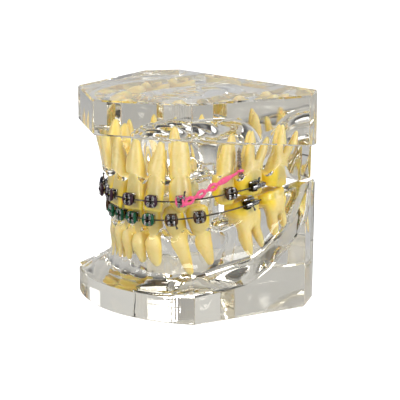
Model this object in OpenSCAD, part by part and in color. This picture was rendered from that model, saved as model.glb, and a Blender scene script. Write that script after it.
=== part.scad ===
// Orthodontic demonstration typodont, closed: two clear acrylic bases, resin teeth with
// full roots, twin brackets, molar tubes, archwires, elastic ties, a power chain and a
// mini screw. Millimetres. +Z is up, the incisors face -Y, the patient's left is +X.
// The origin lies under the middle of the lower base's box.

/* [Bases] */
// Height of the closed model
model_h = 64.6; // [63:0.1:68]
// Width across the widest corners of the upper base
base_w = 74; // [73:0.5:78]
// Depth from the upper base's front point to the flat backs
base_d = 61.5; // [61:0.5:64]
// Height of the upper base's wall at the front point
upper_wall_h = 10.3; // [9:0.1:11.5]
// Height of the lower base's wall at the front
lower_wall_h = 8.1; // [7:0.1:8.5]
// Height of the lower base's heels above the table
heel_h = 38; // [36:0.1:38.1]
// Height of the floor between the lower gum ridges
tongue_floor_h = 9; // [8:0.1:10]

/* [Upper arch] */
// Half width of the upper archwire behind the canines
upper_wire_a = 26.05; // [26:0.05:26.3]
// Front to back reach of the upper archwire's curved front
upper_wire_b = 33.15; // [33:0.05:33.4]
// Y where the upper arch turns straight
upper_arch_y = 11.8; // [11.6:0.1:12]
// Height of the upper archwire at the incisors
upper_wire_z = 34.8; // [34.7:0.05:35]
// Rise of the upper archwire per millimetre towards the back
upper_wire_slope = 0.11; // [0.1:0.005:0.12]

/* [Lower arch] */
// Half width of the lower archwire behind the canines
lower_wire_a = 25.05; // [24.9:0.05:25.2]
// Front to back reach of the lower archwire's curved front
lower_wire_b = 29.65; // [29.4:0.05:29.8]
// Y where the lower arch turns straight
lower_arch_y = 11.2; // [11:0.1:11.4]
// Height of the lower archwire at the incisors
lower_wire_z = 28.6; // [28.4:0.05:28.7]
// Rise of the lower archwire per millimetre behind the lateral incisors
lower_wire_slope = 0.145; // [0.13:0.005:0.16]

/* [Appliance] */
// Thickness of the round archwires
wire_d = 0.45; // [0.4:0.05:0.5]
// Distance from a tooth's face to the middle of its archwire
wire_standoff = 1.25; // [1.2:0.05:1.3]
// Span of an elastic tie round a bracket, middle to middle of its band
tie_span = 3.1; // [3:0.05:3.2]
// Thickness of an elastic tie
tie_d = 0.4; // [0.3:0.05:0.45]
// Length of a molar tube
tube_l = 5; // [4.5:0.1:5.2]
// Mini screw shaft diameter
screw_d = 1.4; // [1.2:0.1:1.5]
// Length of the mini screw's shaft in the gum
screw_l = 7; // [6:0.5:7.5]

/* [Hidden] */
$fn = 32;
UPPER = 1;
LOWER = -1;

// Outline corners. The upper base has seven straight sides, the lower a round front.
half_w = base_w / 2;
half_d = base_d / 2;
upper_outline = [
    [0, -half_d],
    [25.6, -15.6],
    [half_w, 20.9],
    [30.7, half_d],
    [-30.7, half_d],
    [-half_w, 20.9],
    [-25.6, -15.6]
];
lower_front_r = 43.4;
lower_front_y = -24.55;
lower_front_x = 26.6;
heel_corner = [35.5, 21.4];
lower_back_x = 30;
upper_wall_z = model_h - upper_wall_h;

// One row for each tooth of the left side: name, station along the arch, crown width,
// crown depth, neck width, neck depth, bracket to biting edge, bracket to neck, root
// length, lean of the crown to the lips, lean of the root to the back, kind of crown.
upper_teeth = [
    ["central_incisor", 9.4, 7.2, 6.6, 5.6, 6.0, 3.5, 6.8, 11.6, 2.5, -2, "incisor"],
    ["lateral_incisor", 25.2, 6.1, 6.0, 5.0, 5.4, 3.3, 6.8, 11.4, 5, 3, "incisor"],
    ["canine", 42.7, 7.3, 7.8, 5.8, 7.0, 3.9, 7.0, 15.4, 4, -2, "canine"],
    ["second_premolar", 70.4, 6.9, 7.8, 5.2, 7.0, 3.0, 5.4, 12.5, 2, 3, "premolar"],
    ["first_molar", 87.6, 10.2, 10.4, 8.0, 9.8, 2.7, 4.8, 12, 0, 4, "molar"],
    ["second_molar", 107, 9.4, 10.2, 7.6, 9.6, 3.0, 4.2, 12, 0, 6, "molar"]
];
lower_teeth = [
    ["central_incisor", 6.2, 5.0, 5.6, 3.8, 5.2, 3.9, 4.8, 10.4, 2, 0, "incisor"],
    ["lateral_incisor", 19.3, 5.5, 6.0, 4.1, 5.6, 3.9, 4.9, 11.0, 2, 0, "incisor"],
    ["canine", 34.7, 6.8, 7.4, 5.2, 6.8, 3.7, 5.4, 14.6, 3, 13, "canine"],
    ["first_premolar", 51.8, 7.0, 7.8, 5.2, 7.0, 2.7, 5.8, 11.4, 1, 12, "premolar"],
    ["first_molar", 86, 10.6, 9.4, 8.8, 8.4, 1.2, 4.8, 11.8, -9, 11, "molar"],
    ["second_molar", 108, 10.0, 9.4, 8.4, 8.4, 0.8, 4.4, 10, -11, 12, "molar"]
];
SIDES = ["left", "right"];
function teeth(jaw) = jaw == UPPER ? upper_teeth : lower_teeth;
function jaw_name(jaw) = jaw == UPPER ? "upper" : "lower";
function label(jaw, side, what) = str(jaw_name(jaw), "_", side, "_", what);
function fitting(tooth) =
    tooth[0] == "first_molar" ? "tube" : tooth[0] == "second_molar" ? "" : "bracket";
function fitting_name(tooth) = str(tooth[0], "_", fitting(tooth));
function tie_group(jaw, tooth) =
    jaw == UPPER && tooth[0] == "canine" ? "canine"
    : tooth[11] == "incisor" ? "front" : "amber";

// The archwire's plan is half an ellipse that turns into straight arms at station 90.
// A station is the ellipse's angle from the midline, negative on the right.
function wire_a(jaw) = jaw == UPPER ? upper_wire_a : lower_wire_a;
function wire_b(jaw) = jaw == UPPER ? upper_wire_b : lower_wire_b;
function arch_y(jaw) = jaw == UPPER ? upper_arch_y : lower_arch_y;
function wire_xy(jaw, s) =
    abs(s) <= 90
    ? [wire_a(jaw) * sin(s), arch_y(jaw) - wire_b(jaw) * cos(s)]
    : [sign(s) * wire_a(jaw), arch_y(jaw) + wire_b(jaw) * (abs(s) - 90) * PI / 180];
function outward(jaw, s) =
    let (q = min(abs(s), 90),
         n = [sign(s) * sin(q) / wire_a(jaw), -cos(q) / wire_b(jaw)])
    s == 0 ? [0, -1] : n / norm(n);
function turn(jaw, s) = let (n = outward(jaw, s)) atan2(n[0], -n[1]);
function arch_xy(jaw, s, out) = wire_xy(jaw, s) + (out - wire_standoff) * outward(jaw, s);
function wire_height(jaw, y) =
    jaw == UPPER
    ? upper_wire_z + upper_wire_slope * max(0, y + 14)
    : lower_wire_z + lower_wire_slope * max(0, y + 15.5);
function tooth_origin(jaw, s) =
    let (p = arch_xy(jaw, s, 0), w = wire_xy(jaw, s)) [p[0], p[1], wire_height(jaw, w[1])];

// A loft through rings [x, y, z, half width, half depth, squareness], bottom first.
// A ring is narrower on the tongue's side than on the lips' side.
LOFT_SIDES = 12;
LINGUAL_TAPER = 0.14;
function ring_points(r) = [
    for (i = [0:LOFT_SIDES - 1])
        let (a = 360 * (i + 0.5) / LOFT_SIDES, c = cos(a), s = sin(a),
             back = sign(s) * pow(abs(s), 2 / r[5]))
        [r[0] + r[3] * (1 - LINGUAL_TAPER * back) * sign(c) * pow(abs(c), 2 / r[5]),
         r[1] + r[4] * back,
         r[2]]
];
module loft(rings) {
    n = LOFT_SIDES;
    last = len(rings) - 1;
    points = [for (r = rings) each ring_points(r)];
    sides = [for (k = [0:last - 1], i = [0:n - 1])
        let (j = (i + 1) % n, a = k * n + i, b = k * n + j)
        each [[a, a + n, b + n], [a, b + n, b]]];
    floor_fan = [for (i = [1:n - 2]) [0, i, i + 1]];
    roof_fan = [for (i = [1:n - 2]) [last * n, last * n + i + 1, last * n + i]];
    polyhedron(points, concat(sides, floor_fan, roof_fan), convexity = 6);
}

// Crown rings as [height share, width share, depth share] from the neck to the edge.
function crown_rows(kind) =
    kind == "incisor" ? [[0.22, 0.5, 1.0], [0.5, 0.86, 0.72], [0.78, 1.0, 0.42], [1, 0.95, 0.16]]
    : kind == "canine" ? [[0.22, 0.55, 1.0], [0.5, 0.95, 0.86], [0.72, 0.98, 0.58], [0.9, 0.5, 0.3],
                          [1, 0.14, 0.14]]
    : kind == "premolar" ? [[0.25, 0.6, 0.7], [0.6, 1.0, 1.0], [0.86, 0.92, 0.8], [1, 0.66, 0.56]]
    : [[0.22, 0.6, 0.6], [0.55, 1.0, 1.0], [0.88, 0.94, 0.88], [1, 0.8, 0.74]];
LABIAL_CURVE = 0.016;
function labial_y(z) = LABIAL_CURVE * z * z;
function crown_rings(t) =
    let (neck_z = -t[7], edge_z = t[6], square = t[11] == "molar" ? 2.9 : 2.4)
    [for (c = crown_rows(t[11]))
        let (z = neck_z + c[0] * (edge_z - neck_z),
             front = t[11] == "incisor" || t[11] == "canine",
             w = c[0] < 0.3 ? t[4] + c[1] * (t[2] - t[4]) : c[1] * t[2],
             d = front || c[0] > 0.3 ? c[2] * t[3] : t[5] + c[2] * (t[3] - t[5]),
             tuck = t[11] == "incisor" ? 0 : 0.6 * t[3] * max(0, c[0] - 0.8),
             lip = labial_y(z) + tuck)
        [0, lip + d / 2, z, w / 2, d / 2, square]];
function root_share(v) = pow(1 - v, 0.62) + 0.1 * v;
function root_rings(t) =
    [for (v = [0.97, 0.88, 0.7, 0.45, 0.2])
        let (f = root_share(v), z = -t[7] - v * t[8])
        [0.6 * v * v, labial_y(-t[7]) + t[5] / 2 + 0.25 * v, z, f * t[4] / 2, f * t[5] / 2, 2]];
function neck_ring(t) =
    [0, labial_y(-t[7]) + t[5] / 2, -t[7], t[4] / 2, t[5] / 2, t[11] == "molar" ? 2.6 : 2.1];

module single_root_tooth(t) {
    loft(concat(root_rings(t), [neck_ring(t)], crown_rings(t)));
}
// A molar's crown and trunk, with one tapering root for each row of
// [x at the tip, y share at the top, y share at the tip, half width, half depth, length share].
function molar_roots(jaw) =
    jaw == UPPER
    ? [[-3.1, 0.26, 0.2, 1.75, 2.0, 1], [3.0, 0.26, 0.22, 1.65, 2.0, 0.8],
       [0.2, 0.72, 0.86, 2.2, 2.0, 0.95]]
    : [[-2.3, 0.5, 0.46, 1.9, 3.7, 1], [3.2, 0.5, 0.5, 1.8, 3.4, 0.96]];
TRUNK_SHARE = 0.24;
ROOT_START = 0.9;
module molar(jaw, t) {
    trunk_z = -t[7] - TRUNK_SHARE * t[8];
    neck = neck_ring(t);
    trunk = [neck[0], neck[1], trunk_z, neck[3] * 0.9, neck[4] * 0.9, 2.6];
    loft(concat([trunk, neck], crown_rings(t)));
    for (r = molar_roots(jaw)) {
        top_x = sign(r[0]) * t[4] * (abs(r[0]) < 1 ? 0 : 0.22);
        loft([for (v = [1, 0.9, 0.7, 0.4, 0])
            let (f = root_share(v) + 0.03,
                 x = top_x + (r[0] - top_x) * v + 0.5 * v * v,
                 y = neck[1] + t[5] * ((r[1] + (r[2] - r[1]) * v) - 0.5))
            [x, y, trunk_z + ROOT_START - v * (r[5] * (1 - TRUNK_SHARE) * t[8] + ROOT_START),
             r[3] * f, r[4] * f, 2.1]]);
    }
}
module crown(t) {
    loft(concat([neck_ring(t)], crown_rings(t)));
}
module tooth_shape(jaw, t) {
    if (t[11] == "molar") molar(jaw, t);
    else single_root_tooth(t);
}

// Fittings tilt with the rise of the wire.
function wire_tilt(jaw, s) =
    let (rise = wire_height(jaw, wire_xy(jaw, s)[1]) - wire_height(jaw, -half_d),
         slope = jaw == UPPER ? upper_wire_slope : lower_wire_slope)
    rise > 0 ? atan(slope * abs(outward(jaw, s)[0])) : 0;
module on_wire(jaw, s) {
    at_station(jaw, s) translate([0, -wire_standoff, 0]) rotate([0, -wire_tilt(jaw, s), 0])
        translate([0, wire_standoff, 0]) children();
}
// Puts a left-side piece at its station, with its own -Y to the lips and +X to the back.
module at_station(jaw, s) {
    translate(tooth_origin(jaw, s)) rotate([0, 0, turn(jaw, s)]) children();
}
module upright(jaw) {
    if (jaw == UPPER) mirror([0, 0, 1]) children();
    else children();
}
module on_side(side) {
    if (side == "left") children();
    else mirror([1, 0, 0]) children();
}
module lean(jaw, t) {
    at_station(jaw, t[1]) upright(jaw) rotate([t[9], -t[10], 0]) children();
}
module left_tooth(jaw, t) {
    lean(jaw, t) tooth_shape(jaw, t);
}
module tooth(jaw, side, t) {
    color("khaki") on_side(side) left_tooth(jaw, t);
}
module sockets(jaw) {
    for (side = SIDES, t = teeth(jaw)) on_side(side) left_tooth(jaw, t);
}

// The gum ridge is swept along the arch. A section row is [outward, height].
RIDGE_STEP = 10;
function neck_height(jaw, s) =
    jaw == UPPER ? 41.5 : 23.9 + 0.14 * max(0, min(abs(s), 108) - 50);
function lean_at(jaw, s) =
    jaw == UPPER ? max(0, 5 - 0.06 * abs(s)) : 2;
function neck_out(jaw, s) =
    let (rise = abs(neck_height(jaw, s) - wire_height(jaw, wire_xy(jaw, s)[1])))
    -rise * tan(lean_at(jaw, s)) - labial_y(rise) + 0.35;
function crest_depth(s) = 6.6 + 4.6 * min(1, pow(abs(s) / 80, 2));
function ridge_section(jaw, s) =
    let (z = neck_height(jaw, s), out = neck_out(jaw, s), deep = crest_depth(s),
         up = jaw, fold = jaw == UPPER ? upper_wall_z + 3 : tongue_floor_h - 3)
    [[out, z], [out + 0.7, z + up * 1.6], [0.9, z + (fold - z) * 0.55], [1.6, fold],
     [-deep - 3.6, fold], [-deep - 2.4, z + (fold - z) * 0.5], [-deep - 1.2, z + up * 1.4],
     [out - deep + 0.8, z]];
module gum_ridge(jaw) {
    reach = 130;
    sections = [for (s = [-reach:RIDGE_STEP:reach])
        [for (q = ridge_section(jaw, s)) let (p = arch_xy(jaw, s, q[0])) [p[0], p[1], q[1]]]];
    n = len(sections[0]);
    last = len(sections) - 1;
    skin = [for (k = [0:last - 1], i = [0:n - 1])
        let (j = (i + 1) % n, a = k * n + i, b = k * n + j)
        each [[a, b, b + n], [a, b + n, a + n]]];
    start_fan = [for (i = [1:n - 2]) [0, i + 1, i]];
    end_fan = [for (i = [1:n - 2]) [last * n, last * n + i, last * n + i + 1]];
    points = [for (section = sections) each section];
    faces = concat(skin, start_fan, end_fan);
    flipped = [for (f = faces) [f[0], f[2], f[1]]];
    polyhedron(points, jaw == UPPER ? faces : flipped, convexity = 10);
}

// A prism across the whole width, whose side view is the profile.
module side_profile(profile) {
    rotate([90, 0, 90]) linear_extrude(base_w + 10, center = true) polygon(profile);
}
module lower_plan() {
    intersection() {
        translate([0, lower_front_y + lower_front_r]) circle(lower_front_r, $fn = 96);
        translate([-half_w, lower_front_y - 1]) square([base_w, lower_front_r]);
        polygon([
            [-lower_front_x - 3, -28],
            [lower_front_x + 3, -28],
            [lower_front_x, -15.45],
            heel_corner,
            [30, 25],
            [-30, 25],
            [-heel_corner[0], heel_corner[1]],
            [-lower_front_x, -15.45]
        ]);
    }
    polygon([
        [-lower_front_x, -15.45],
        [lower_front_x, -15.45],
        heel_corner,
        [lower_back_x, half_d],
        [-lower_back_x, half_d],
        [-heel_corner[0], heel_corner[1]]
    ]);
}
lower_wall_profile = [
    [-half_d, 0],
    [-half_d, lower_wall_h],
    [-15.5, lower_wall_h + 0.6],
    [-4, lower_wall_h + 1.3],
    [1, lower_wall_h + 2.1],
    [5, lower_wall_h + 3.4],
    [9.3, lower_wall_h + 6],
    [16, lower_wall_h + 12],
    [19, lower_wall_h + 16],
    [21, lower_wall_h + 20.4],
    [23.6, heel_h],
    [half_d, heel_h - 0.7],
    [half_d, 0]
];
upper_wall_profile = [
    [-half_d - 1, model_h + 1],
    [-half_d - 1, upper_wall_z],
    [-15.6, upper_wall_z - 0.4],
    [20.9, upper_wall_z - 4.9],
    [half_d + 1, upper_wall_z - 6.4],
    [half_d + 1, model_h + 1]
];
// The plan of the arch out to a distance from the tooth faces, closed across the back.
module arch_plan(jaw, out, reach) {
    polygon([for (s = [-reach:8:reach]) arch_xy(jaw, s, out)]);
}
INNER_X = 12.6;
HEEL_Y = 24.6;
HEEL_TOP_Y = 27.8;
heel_step_z = heel_h - 7;
module heel_block(z0, z1, x1, y0) {
    for (side = SIDES) on_side(side)
        translate([INNER_X, y0, z0]) cube([x1 - INNER_X, half_d - y0, z1 - z0]);
}
module back_trim() {
    translate([-half_w, half_d, -1]) cube([base_w, 30, model_h + 2]);
}

module lower_base() {
    color("whitesmoke", 0.5) difference() {
        union() {
            difference() {
                intersection() {
                    linear_extrude(heel_h + 2) lower_plan();
                    side_profile(lower_wall_profile);
                }
                translate([0, 0, tongue_floor_h]) linear_extrude(heel_h) union() {
                    arch_plan(LOWER, 2.2, 128);
                    translate([-INNER_X, 0]) square([2 * INNER_X, half_d + 1]);
                }
            }
            gum_ridge(LOWER);
            heel_block(tongue_floor_h - 1, heel_step_z, 27.5, HEEL_Y);
            heel_block(heel_step_z - 1, heel_h - 0.7, 27.5, HEEL_TOP_Y);
        }
        sockets(LOWER);
        back_trim();
    }
}
UPPER_PAD_Z = heel_h + 0.5;

// The palate's dome rises into the upper slab. Rows are [height above the wall, half width,
// half depth].
PALATE_Y = 8;
palate_rows = [[-8, 10.4, 17.5], [-4, 10.8, 18.2], [-1, 10, 16.5], [0.9, 7.4, 12.5], [2, 3.8, 6.5]];

module palate_dome() {
    loft([for (r = palate_rows) [0, PALATE_Y, upper_wall_z + r[0], r[1], r[2], 2.2]]);
}
module upper_base() {
    color("whitesmoke", 0.5) difference() {
        union() {
            intersection() {
                translate([0, 0, 40]) linear_extrude(model_h - 40) polygon(upper_outline);
                side_profile(upper_wall_profile);
            }
            gum_ridge(UPPER);
            heel_block(UPPER_PAD_Z, upper_wall_z, 27.3, HEEL_Y);
        }
        palate_dome();
        sockets(UPPER);
        mini_screw_shaft();
        back_trim();
    }
}

// Bracket pieces in a tooth's own upright frame: the face is at y = 0, the lips at -Y.
SLOT_H = 0.56;
POST_X = 1.2;
POST_Z = 1.15;
LIP_Z = 1.75;
PAD_W = 3;
HOOK_OUT = 1.15;
PAD_H = 3.2;
BRACKET_FACE = 2.25;
module centred_box(x, y0, y1, z) {
    translate([-x / 2, y0, -z / 2]) cube([x, y1 - y0, z]);
}
module wing(mesial, top) {
    gap = 0.3;
    x0 = mesial ? -POST_X : gap;
    z0 = top ? SLOT_H / 2 : -POST_Z;
    lip_z0 = top ? POST_Z - 0.1 : -LIP_Z;
    translate([x0, -BRACKET_FACE, z0]) cube([POST_X - gap, 1.5, POST_Z - SLOT_H / 2]);
    translate([x0, -BRACKET_FACE, lip_z0]) cube([POST_X - gap, 0.3, LIP_Z - POST_Z + 0.1]);
}
module hook(root_z, height) {
    translate([POST_X - 0.3, -HOOK_OUT, sign(height) * root_z]) rotate([0, height > 0 ? 14 : 166, 0]) {
        cylinder(d = 0.5, h = abs(height));
        translate([0, 0, abs(height)]) sphere(d = 0.75);
    }
}
module twin_bracket(hook_length) {
    centred_box(PAD_W, -0.45, 1.6, PAD_H);
    centred_box(2 * POST_X, -0.9, 0, 2 * POST_Z);
    for (mesial = [true, false], top = [true, false]) wing(mesial, top);
    if (hook_length != 0) hook(POST_Z - 0.2, hook_length);
}
TUBE_BORE_R = 0.34;
module molar_tube(gum_side) {
    difference() {
        union() {
            centred_box(tube_l - 0.8, -0.45, 1.6, PAD_H);
            translate([-tube_l / 2, -wire_standoff, 0]) rotate([0, 90, 0]) cylinder(r = 0.95, h = tube_l);
            translate([-tube_l / 2, -1.9, -1.2]) cube([1.8, 1.9, 2.4]);
            translate([0.3, 0, 0]) hook(0.5, gum_side * 1.6);
        }
        translate([-tube_l, -wire_standoff, 0]) rotate([0, 90, 0]) cylinder(r = TUBE_BORE_R, h = 2 * tube_l);
    }
}
function hook_length(jaw, t) = t[0] == "canine" ? jaw * 2.1 : 0;
module fixture(jaw, side, t) {
    color("silver") on_side(side) difference() {
        on_wire(jaw, t[1]) {
            if (fitting(t) == "tube") molar_tube(jaw);
            else twin_bracket(hook_length(jaw, t));
        }
        lean(jaw, t) crown(t);
    }
}

// A round wire swept along the arch, with a ring of points every step.
WIRE_SIDES = 8;
module archwire(jaw) {
    reach = 94;
    step = 2.5;
    rings = [for (s = [-reach:step:reach])
        let (c = wire_xy(jaw, s), n = outward(jaw, s), z = wire_height(jaw, c[1]))
        [for (i = [0:WIRE_SIDES - 1])
            let (a = 360 * i / WIRE_SIDES, q = wire_d / 2 * cos(a))
            [c[0] + q * n[0], c[1] + q * n[1], z + wire_d / 2 * sin(a)]]];
    n = WIRE_SIDES;
    last = len(rings) - 1;
    skin = [for (k = [0:last - 1], i = [0:n - 1])
        let (j = (i + 1) % n, a = k * n + i, b = k * n + j)
        each [[a, b, b + n], [a, b + n, a + n]]];
    start_fan = [for (i = [1:n - 2]) [0, i + 1, i]];
    end_fan = [for (i = [1:n - 2]) [last * n, last * n + i, last * n + i + 1]];
    color("gray") polyhedron([for (r = rings) each r], concat(skin, start_fan, end_fan), convexity = 10);
}

// A square elastic band with round corners, lying in the XZ plane.
module round_square(span, r) {
    h = span / 2 - r;
    square([span, 2 * h], center = true);
    square([2 * h, span], center = true);
    for (x = [-h, h], y = [-h, h]) translate([x, y]) circle(r);
}
TIE_DEPTH = 1.74;
module tie_band() {
    translate([0, -TIE_DEPTH + tie_d / 2, 0]) rotate([90, 0, 0]) linear_extrude(tie_d) difference() {
        round_square(tie_span + tie_d, 0.7 + tie_d / 2);
        round_square(tie_span - tie_d, 0.7 - tie_d / 2);
    }
}
module ties(jaw, group) {
    for (side = SIDES, t = teeth(jaw))
        if (fitting(t) == "bracket" && tie_group(jaw, t) == group)
            on_side(side) on_wire(jaw, t[1]) tie_band();
}
module upper_front_ties() {
    color("indigo") ties(UPPER, "front");
}
module upper_right_canine_tie() {
    color("navy") on_side("right") on_wire(UPPER, upper_teeth[2][1]) tie_band();
}
module upper_premolar_ties() {
    color("saddlebrown") ties(UPPER, "amber");
}
module lower_front_ties() {
    color("darkgreen") ties(LOWER, "front");
}
module lower_amber_ties() {
    color("saddlebrown") ties(LOWER, "amber");
}

// The mini screw leans up and inward between the premolar's and the molar's roots.
screw_head = [26.5, 3.3, 41.1];
screw_aim = [-2.2, 0.5, 6.5];
screw_turn = atan2(screw_aim[1], screw_aim[0]);
screw_tilt = acos(screw_aim[2] / norm(screw_aim));
HEAD_H = 1.3;
NECK_H = 1.2;
HEAD_R = 0.95;
NECK_D = 1.1;
module aim_screw() {
    translate(screw_head) rotate([0, 0, screw_turn]) rotate([0, screw_tilt, 0]) children();
}
module mini_screw_shaft() {
    tip = 1.6;
    aim_screw() {
        translate([0, 0, HEAD_H + NECK_H]) cylinder(d = screw_d, h = screw_l - tip);
        translate([0, 0, HEAD_H + NECK_H + screw_l - tip]) cylinder(d1 = screw_d, d2 = 0.3, h = tip);
    }
}
module mini_screw() {
    color("rosybrown") {
        aim_screw() {
            cylinder(r = HEAD_R, h = HEAD_H);
            translate([0, 0, HEAD_H]) cylinder(d = NECK_D, h = NECK_H);
        }
        mini_screw_shaft();
    }
}

// The chain is a flat ribbon with a round hole in each link, from the canine bracket's
// band to a ring round the mini screw's neck.
LINKS = 3;
LINK_PITCH = 4.0;
FIRST_LINK = 2.8;
LINK_R = 1.0;
HOLE_R = 0.42;
RIBBON_T = 0.4;
RIBBON_W = 0.8;
chain_s = upper_teeth[2][1];
CHAIN_OUT = TIE_DEPTH + 0.96;
chain_out = outward(UPPER, chain_s) * CHAIN_OUT;
CHAIN_DROP = 0.9;
LOOP_R = 1.2;
LOOP_GAP = 0.03;
chain_start = tooth_origin(UPPER, chain_s) + [chain_out[0], chain_out[1], -CHAIN_DROP];
module link_row() {
    for (i = [0:LINKS - 1]) translate([FIRST_LINK + i * LINK_PITCH, 0]) children();
}
module chain_ribbon(length) {
    linear_extrude(RIBBON_T, center = true) difference() {
        union() {
            translate([0, -RIBBON_W / 2]) square([length, RIBBON_W]);
            link_row() circle(LINK_R);
        }
        link_row() circle(HOLE_R);
    }
}
module chain_tab() {
    translate([tie_span / 2 - tie_d / 2, -CHAIN_OUT - RIBBON_T / 2, -CHAIN_DROP - RIBBON_W / 2])
        cube([tie_d, CHAIN_OUT - TIE_DEPTH + RIBBON_T, RIBBON_W]);
}
module power_chain() {
    neck = screw_head + screw_aim / norm(screw_aim) * (HEAD_H + NECK_H / 2);
    run = neck - chain_start;
    heading = atan2(run[1], run[0]);
    climb = asin(run[2] / norm(run));
    start_gap = tie_span / 2;
    end_gap = HEAD_R + 2 * LOOP_GAP;
    color("hotpink") {
        on_wire(UPPER, chain_s) {
            tie_band();
            chain_tab();
        }
        translate(chain_start) rotate([0, -climb, heading]) rotate([90, 0, 0])
            translate([start_gap, 0, 0]) chain_ribbon(norm(run) - start_gap - end_gap);
        aim_screw() translate([0, 0, HEAD_H]) difference() {
            translate([0, 0, LOOP_GAP]) cylinder(r = LOOP_R, h = NECK_H - 2 * LOOP_GAP);
            translate([0, 0, -NECK_H]) cylinder(d = NECK_D + 2 * LOOP_GAP, h = 3 * NECK_H);
        }
    }
}

upper_base();
lower_base();
for (jaw = [UPPER, LOWER], side = SIDES, t = teeth(jaw)) {
    tooth(jaw, side, t);
    if (fitting(t) != "")
        fixture(jaw, side, t);
}
archwire(UPPER);  // upper_archwire
archwire(LOWER);  // lower_archwire
upper_front_ties();
upper_right_canine_tie();
upper_premolar_ties();
lower_front_ties();
lower_amber_ties();
power_chain();
mini_screw();
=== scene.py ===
"""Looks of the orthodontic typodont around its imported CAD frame.

The mesh code works in millimetres, in the part's own frame: +Z up, the incisors face -Y, the
patient's left is +X. raw_mesh(), set_points() and make_base() turn that into metres. The
studio and the materials are in metres.
"""
import math

import bmesh
import bpy
import numpy as np
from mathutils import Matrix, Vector


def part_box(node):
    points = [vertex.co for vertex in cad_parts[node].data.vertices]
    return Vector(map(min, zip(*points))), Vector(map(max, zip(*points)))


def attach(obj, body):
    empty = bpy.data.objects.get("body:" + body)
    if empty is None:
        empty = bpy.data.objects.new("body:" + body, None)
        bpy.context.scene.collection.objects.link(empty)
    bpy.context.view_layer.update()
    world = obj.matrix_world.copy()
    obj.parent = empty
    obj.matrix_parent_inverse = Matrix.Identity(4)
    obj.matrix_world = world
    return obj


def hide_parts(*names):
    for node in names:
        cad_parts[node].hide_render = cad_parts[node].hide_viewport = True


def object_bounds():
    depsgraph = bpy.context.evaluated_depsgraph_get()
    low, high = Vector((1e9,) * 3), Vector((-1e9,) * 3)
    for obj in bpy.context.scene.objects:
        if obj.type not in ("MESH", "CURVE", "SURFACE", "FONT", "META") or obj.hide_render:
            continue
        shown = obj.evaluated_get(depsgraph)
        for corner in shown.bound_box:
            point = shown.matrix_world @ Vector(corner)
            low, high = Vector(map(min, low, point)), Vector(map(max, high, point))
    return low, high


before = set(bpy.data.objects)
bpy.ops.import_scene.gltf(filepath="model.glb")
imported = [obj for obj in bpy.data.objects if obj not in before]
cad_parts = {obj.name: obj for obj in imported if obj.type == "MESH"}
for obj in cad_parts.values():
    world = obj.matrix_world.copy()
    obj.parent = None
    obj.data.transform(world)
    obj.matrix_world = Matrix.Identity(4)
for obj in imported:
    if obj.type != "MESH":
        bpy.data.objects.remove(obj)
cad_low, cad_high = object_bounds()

MM = 0.001
JAWS = ("upper", "lower")
SIDES = ("left", "right")


# ---------------- shader helpers

def fill(tree, node, sockets):
    """Fills a node's sockets, each with another node's output or with a plain value."""
    for name, value in sockets.items():
        if isinstance(value, bpy.types.NodeSocket):
            tree.links.new(value, node.inputs[name])
        else:
            node.inputs[name].default_value = value


def add_node(tree, kind, output, sockets=None, **settings):
    """Adds a shader node, fills it and returns one of its outputs."""
    node = tree.nodes.new("ShaderNode" + kind)
    for name, value in settings.items():
        setattr(node, name, value)
    fill(tree, node, sockets or {})
    return node.outputs[output]


def principled(name):
    """A new material, its node tree and its principled shader."""
    mat = bpy.data.materials.new(name)
    mat.use_nodes = True
    tree = mat.node_tree
    tree.nodes.clear()
    out = tree.nodes.new("ShaderNodeOutputMaterial")
    out.name = "out"
    shader = tree.nodes.new("ShaderNodeBsdfPrincipled")
    tree.links.new(shader.outputs["BSDF"], out.inputs["Surface"])
    return mat, tree, shader


def swap_for(tree, shader, ray, other):
    """Shows rays of one kind another surface than the shader's."""
    mix = add_node(tree, "MixShader", "Shader", {
        "Fac": add_node(tree, "LightPath", ray), 1: shader.outputs["BSDF"], 2: other})
    fill(tree, tree.nodes["out"], {"Surface": mix})


def noise(tree, scale, detail, roughness=0.5, distortion=0.0):
    return add_node(tree, "TexNoise", "Fac", {
        "Vector": add_node(tree, "TexCoord", "Object"), "Scale": scale, "Detail": detail,
        "Roughness": roughness, "Distortion": distortion})


def ramp(tree, value, stops):
    """A colour ramp through (place, colour) stops."""
    color = add_node(tree, "ValToRGB", "Color", {"Fac": value})
    elements = color.node.color_ramp.elements
    while len(elements) < len(stops):
        elements.new(0.5)
    for element, (place, tone) in zip(elements, stops):
        element.position = place
        element.color = (*tone, 1)
    return color


def mixed(tree, factor, first, second, blend_type="MIX"):
    return add_node(tree, "Mix", "Result", {"Factor": factor, "A": first, "B": second},
                    data_type="RGBA", blend_type=blend_type)


def calculated(tree, operation, *values):
    return add_node(tree, "Math", "Value", dict(enumerate(values)), operation=operation)


def spread(tree, value, low, high):
    """A value from 0 to 1 stretched over low to high."""
    return add_node(tree, "MapRange", "Result", {"Value": value, "To Min": low, "To Max": high})


def bump(tree, height, strength, distance):
    return add_node(tree, "Bump", "Normal", {
        "Height": height, "Strength": strength, "Distance": distance})


# ---------------- studio

CAMERA_AZIMUTH = 46.938
CAMERA_ELEVATION = 12.711
CAMERA_DISTANCE = 0.470356
CAMERA_TARGET = (0.0, 0.01145, 0.02875)
CAMERA_LENS = 136.65
SENSOR_WIDTH = 36.0
WHITE = (1.0, 1.0, 1.0)

# Azimuth, elevation, distance, size, power and colour of each lamp.
LAMPS = {
    "key_softbox": (-8, 31, 0.9, (0.30, 0.50), 3.1, (1.0, 0.985, 0.96)),
    "fill_softbox": (98, 22, 0.9, (0.40, 0.40), 4.2, (0.97, 0.985, 1.0)),
    "low_softbox": (40, 9, 1.1, (0.5, 0.16), 1.9, WHITE),
    "top_softbox": (200, 78, 1.0, (0.7, 0.7), 2.2, WHITE),
}

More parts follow.
